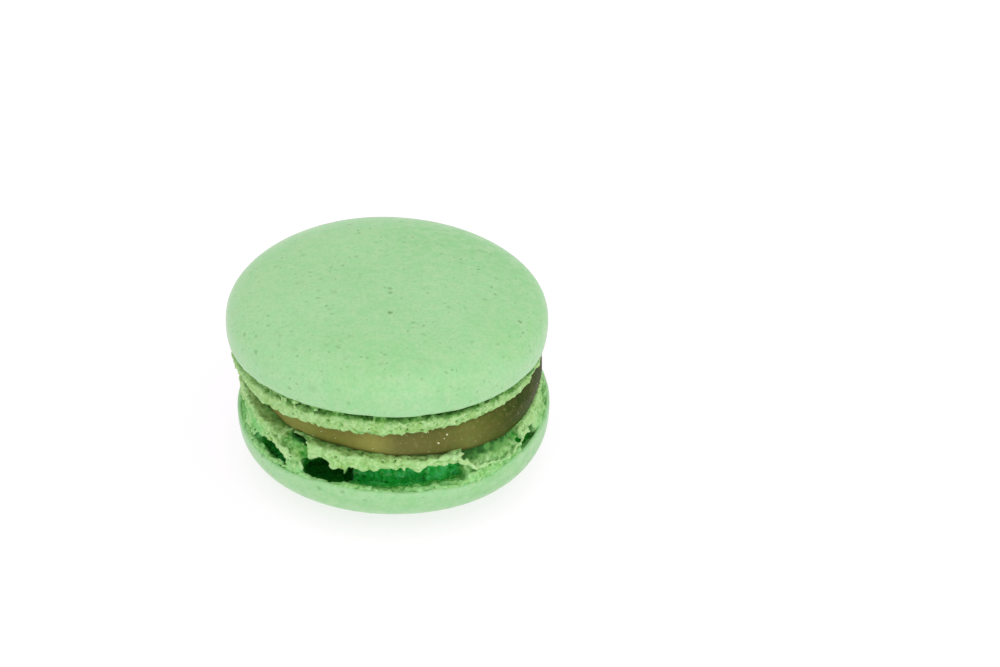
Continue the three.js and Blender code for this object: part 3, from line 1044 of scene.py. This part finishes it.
# %% Lower foot
sizes = {
    "Voxel": VOXEL, "Swell": 0.9 * MM, "Lump": 0.6 * MM, "Grain": 0.9, "Bend": 1.3 * MM, "Teeth": 0.9 * MM,
    "Pit": 0.3 * MM,
}
recipe, size_of = geometry_recipe("lower foot", sizes)
place = recipe.add("GeometryNodeInputPosition")
radius, bearing, z = polar(place)
body = lower_body(recipe, radius, bearing, z)
torn_place = bent(bent(place, 3.4 * MM, size_of["Bend"]), 0.9 * MM, size_of["Teeth"])
bent_polar = polar(torn_place)
sag = curve_through(bearing, ROOF_SAG) * MM
for cave in CAVES:
    body = body.soft_low(outside_cave(*bent_polar, sag, *cave), 0.2 * MM)
for strand in STRANDS:
    body = body.soft_high(inside_strand(strand, *bent_polar), 0.3 * MM)
grainy = 0.45 + radius.step(20.2 * MM, 21.6 * MM) * 0.55
rough = baked(body, place, size_of, grainy).low(z - 4.8 * MM)
carve(recipe, rough, 4.4 * MM, 17.4 * MM, size_of, crumb_low)
foot_mesh = thin_out(mesh_from_recipe(recipe, sizes))
set_points_of(foot_mesh, to_outline(points_of(foot_mesh), lower_outline))
lower_foot = piece_from(foot_mesh, "lower_foot")

# %% [markdown]
# ## The filling
#
# The caramel was squeezed out further on the right, so it turns round an axis a little to that side. Its
# lower edge follows the ledge and its upper edge the tilted shell.

# %% Filling sizes
FILLING_RADIUS = 20.9 * MM
FILLING_AXIS = 0.7 * MM
FILLING_BULGE = 0.6 * MM
FILLING_STEPS = 300  # points round each ring
FILLING_LOW = [
    (-180, 14.0), (-90, 13.7), (-50, 13.6), (-20, 14.2), (8, 14.0), (28, 13.3), (48, 12.6), (62, 12.6),
    (100, 13.8), (180, 14.0),
]  # bearing, and height of the lower edge in millimetres
FILLING_OUT = [
    (-180, -0.4), (-95, -0.7), (-78, -0.9), (-62, -0.5), (-45, -0.4), (-20, -0.6), (-10, -0.3), (0, 0.0),
    (180, -0.4),
]  # bearing, and how many millimetres the side swings out


def upper_plane_height(points, own_height):
    """Height over each point of a plane that is tilted with the upper shell."""
    normal = UPPER_TURN.to_matrix() @ Vector((0, 0, 1))
    base = UPPER_PLACE + normal * own_height
    slope = (normal.x * (points[:, 0] - base.x) + normal.y * (points[:, 1] - base.y)) / normal.z
    return base.z - slope


# %% [markdown]
# The profile's second number is a share: 0 on the ledge and 1 under the upper foot. After turning, each
# point gets its height between the two. The share stays on the mesh, and the material paints shade along both
# edges by it.

# %% Turning the filling
side = [(FILLING_RADIUS + FILLING_BULGE * math.sin(math.pi * s), s) for s in np.linspace(0, 1, 36)]
rows = [(0, -0.2), (15 * MM, -0.2), (19 * MM, -0.15)] + side + [(19 * MM, 1.1), (15 * MM, 1.1), (0, 1.1)]
filling_mesh = turned_mesh("filling", rows[::-1], FILLING_STEPS)
points = points_of(filling_mesh)
share = points[:, 2].copy()
low = by_bearing(points, FILLING_LOW)
points[:, 0] += FILLING_AXIS
high = upper_plane_height(points, -UPPER_FOOT + 0.1 * MM)
points[:, 2] = low + (high - low) * share
ripple = 0.12 * MM * wavy(points, 3.2 * MM, 7) + 0.25 * MM * wavy(points, 9 * MM, 8)
out = points[:, :2] / (np.hypot(points[:, 0], points[:, 1])[:, None] + 1e-9)
ripple += by_bearing(points, FILLING_OUT)
points[:, :2] += out * (ripple * (share > -0.1) * (share < 1.05))[:, None]
filling_mesh.attributes.new("level", "FLOAT", "POINT").data.foreach_set("value", share.astype(np.float32))
set_points_of(filling_mesh, points)
filling = piece_from(filling_mesh, "caramel_filling")
print("filling:", round(np.mean((high - low)[share > 0]) / MM, 1), "mm high on average")

# %% [markdown]
# ## Loose crumbs and sugar crystals
#
# Tearing left single crumbs on the ledge, and a few sugar crystals glint on the caramel. Placing hundreds by
# hand is dull and looks even, so Geometry Nodes puts a stone on each of many points, turned, stretched and
# sized by random numbers with a fixed seed.

# %% Stones on points
def random_vector(recipe, least, most, seed):
    """A random number from least to most for each axis."""
    sockets = {0: Vector((least,) * 3), 1: Vector((most,) * 3), "Seed": seed}
    return recipe.add("FunctionNodeRandomValue", {"data_type": "FLOAT_VECTOR"}, sockets)


def stones_on(recipe, points, size_of):
    """A small uneven stone on each point."""
    stone = recipe.add("GeometryNodeMeshIcoSphere", {}, {"Radius": 1.0, "Subdivisions": 1})
    sockets = {2: size_of["Least"], 3: size_of["Most"], "Seed": 3}
    size = recipe.add("FunctionNodeRandomValue", {"data_type": "FLOAT"}, sockets, 1)
    scale = recipe.scaled(random_vector(recipe, 0.6, 1.4, 4), size)
    turn = random_vector(recipe, 0, 6.3, 5)
    sockets = {"Points": points, "Instance": stone, "Rotation": turn, "Scale": scale}
    return recipe.add("GeometryNodeInstanceOnPoints", {}, sockets)


# %% [markdown]
# Crumbs lie where they can: on faces of the lower foot that look upwards, outside the filling.

# %% Loose crumbs
ICO_FACES = 20
sizes = {"Density": 260000, "Least": 0.05 * MM, "Most": 0.17 * MM}  # density in stones per square metre
recipe, size_of = geometry_recipe("loose crumbs", sizes)
radius = polar(recipe.add("GeometryNodeInputPosition"))[0]
facing = recipe.add("GeometryNodeInputNormal").part("Z")
open_air = facing.math("GREATER_THAN", 0.2) * radius.math("GREATER_THAN", 20.6 * MM)
sockets = {"Mesh": recipe.start, "Selection": open_air, "Density": size_of["Density"], "Seed": 2}
spots = recipe.add("GeometryNodeDistributePointsOnFaces", {"distribute_method": "RANDOM"}, sockets)
finish_recipe(recipe, stones_on(recipe, spots, size_of), crumb_low)
crumbs_mesh = mesh_from_recipe(recipe, sizes, lower_foot.data.copy())
loose_crumbs = piece_from(crumbs_mesh, "loose_crumbs")
print("loose crumbs:", len(crumbs_mesh.polygons) // ICO_FACES)

# %% [markdown]
# The crystals stand on the filling's side. The three that catch the eye sit at chosen places, and the small
# ones are drawn at random.

# %% Sugar crystals
GLINTS = [(19, 16.2), (21, 16.7), (22.6, 17.2)]  # bearing and height of the three large ones
SMALL_CRYSTALS = 60


def sugar_material():
    material, recipe, shader, place = new_material("sugar", Specular_IOR_Level=0.6, Roughness=0.25)
    cloudy = lumps(place, 0.3 * MM, 2).step(-0.2, 0.2)
    recipe.put(shader.inputs["Base Color"], recipe.mix(cloudy, seen(244, 238, 205), seen(214, 204, 150)))
    return material


def crystals(name, places, least, most, material):
    """Stones at chosen places of the filling's side."""
    sizes = {"Least": least, "Most": most}
    recipe, size_of = geometry_recipe(name, sizes)
    spots = recipe.add("GeometryNodeMeshToPoints", {}, {"Mesh": recipe.start})
    finish_recipe(recipe, stones_on(recipe, spots, size_of), material)
    cloud = bpy.data.meshes.new(name)
    cloud.from_pydata(places.tolist(), [], [])
    return piece_from(mesh_from_recipe(recipe, sizes, cloud), name)


# %% Large and small crystals
side_points = points[(share > 0.12) & (share < 0.88)]
side_bearings = bearing_of(side_points)
large = []
for at, level in GLINTS:
    apart = np.abs(side_bearings - at) + 4 * np.abs(side_points[:, 2] / MM - level)
    large.append(np.argmin(apart))
small = np.random.default_rng(8).choice(len(side_points), SMALL_CRYSTALS, replace=False)
sugar = sugar_material()
large_crystals = crystals("large_crystals", side_points[large], 0.11 * MM, 0.17 * MM, sugar)
small_crystals = crystals("small_crystals", side_points[small], 0.04 * MM, 0.08 * MM, sugar)
print("crystals:", len(large), "large,", len(small), "small")

# %% Materials on the turned pieces
for piece, material in ((upper_skin, skin), (lower_skin, skin), (filling, caramel)):
    piece.data.materials.append(material)
    print(piece.name, "wears", material.name)

# %% [markdown]
# ## Table and light
#
# A white table and white walls all round give the flat, shadowless look of a pack shot. The table glows a
# little itself, because paint alone would turn grey, and its own colour is dim, which keeps the shadow pale.

# %% Table and world
TABLE_RADIUS = 2.5
TABLE_THICKNESS = 0.01
TABLE_STEPS = 64
WORLD_STRENGTH = 0.86

scene.view_settings.view_transform = "Standard"
rows = [(0, -TABLE_THICKNESS), (TABLE_RADIUS, -TABLE_THICKNESS), (TABLE_RADIUS, 0), (0, 0)]
table = piece_from(turned_mesh("table", rows, TABLE_STEPS), "table", smooth=False)
table_material = new_material(
    "white_table", Roughness=0.8, Base_Color=(0.38, 0.32, 0.38, 1), Emission_Color=(1, 1, 1, 1),
    Emission_Strength=0.69)[0]
table.data.materials.append(table_material)

world = bpy.data.worlds.new("studio")
world.use_nodes = True
background = world.node_tree.nodes["Background"]
background.inputs["Color"].default_value = (1, 1, 1, 1)
background.inputs["Strength"].default_value = WORLD_STRENGTH
scene.world = world
print("table:", 2 * TABLE_RADIUS, "m across, world strength", WORLD_STRENGTH)

# %% [markdown]
# A large soft lamp above gives the domes their faint form. A smaller, cooler one low in front puts a soft
# sheen on the upper skin's shoulder.

# %% Lamps
def soft_lamp(name, place, size, power, colour=(1, 1, 1)):
    """A round area lamp that looks at the middle of the biscuit."""
    data = bpy.data.lights.new(name, "AREA")
    data.color = colour
    data.shape = "DISK"
    data.size = size
    data.energy = power
    lamp = bpy.data.objects.new(name, data)
    lamp.location = place
    lamp.rotation_euler = (lamp.location - Vector((0, 0, 0.015))).to_track_quat("Z", "Y").to_euler()
    scene.collection.objects.link(lamp)
    print(name, "lamp:", size, "m wide,", power, "W")


soft_lamp("key", (0.14, -0.28, 0.55), 0.7, 1.0)
soft_lamp("front", (0.08, -0.55, 0.11), 0.24, 0.3, (0.86, 0.94, 1.0))

# %% [markdown]
# ## Pieces on the body
#
# Each piece rides on the one body and stands for the solid that it dresses, which is hidden.

# %% Roles of the pieces
ROLES = [
    ("upper_shell", "shell", (upper_skin, upper_foot)),
    ("filling", "filling", (filling, large_crystals, small_crystals)),
    ("lower_shell", "shell", (lower_foot, loose_crumbs, lower_skin)),
]
for node, slot, pieces in ROLES:
    for piece in pieces:
        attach(piece, "root")
        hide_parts(node)
    print(node, "is shown by", [piece.name for piece in pieces])
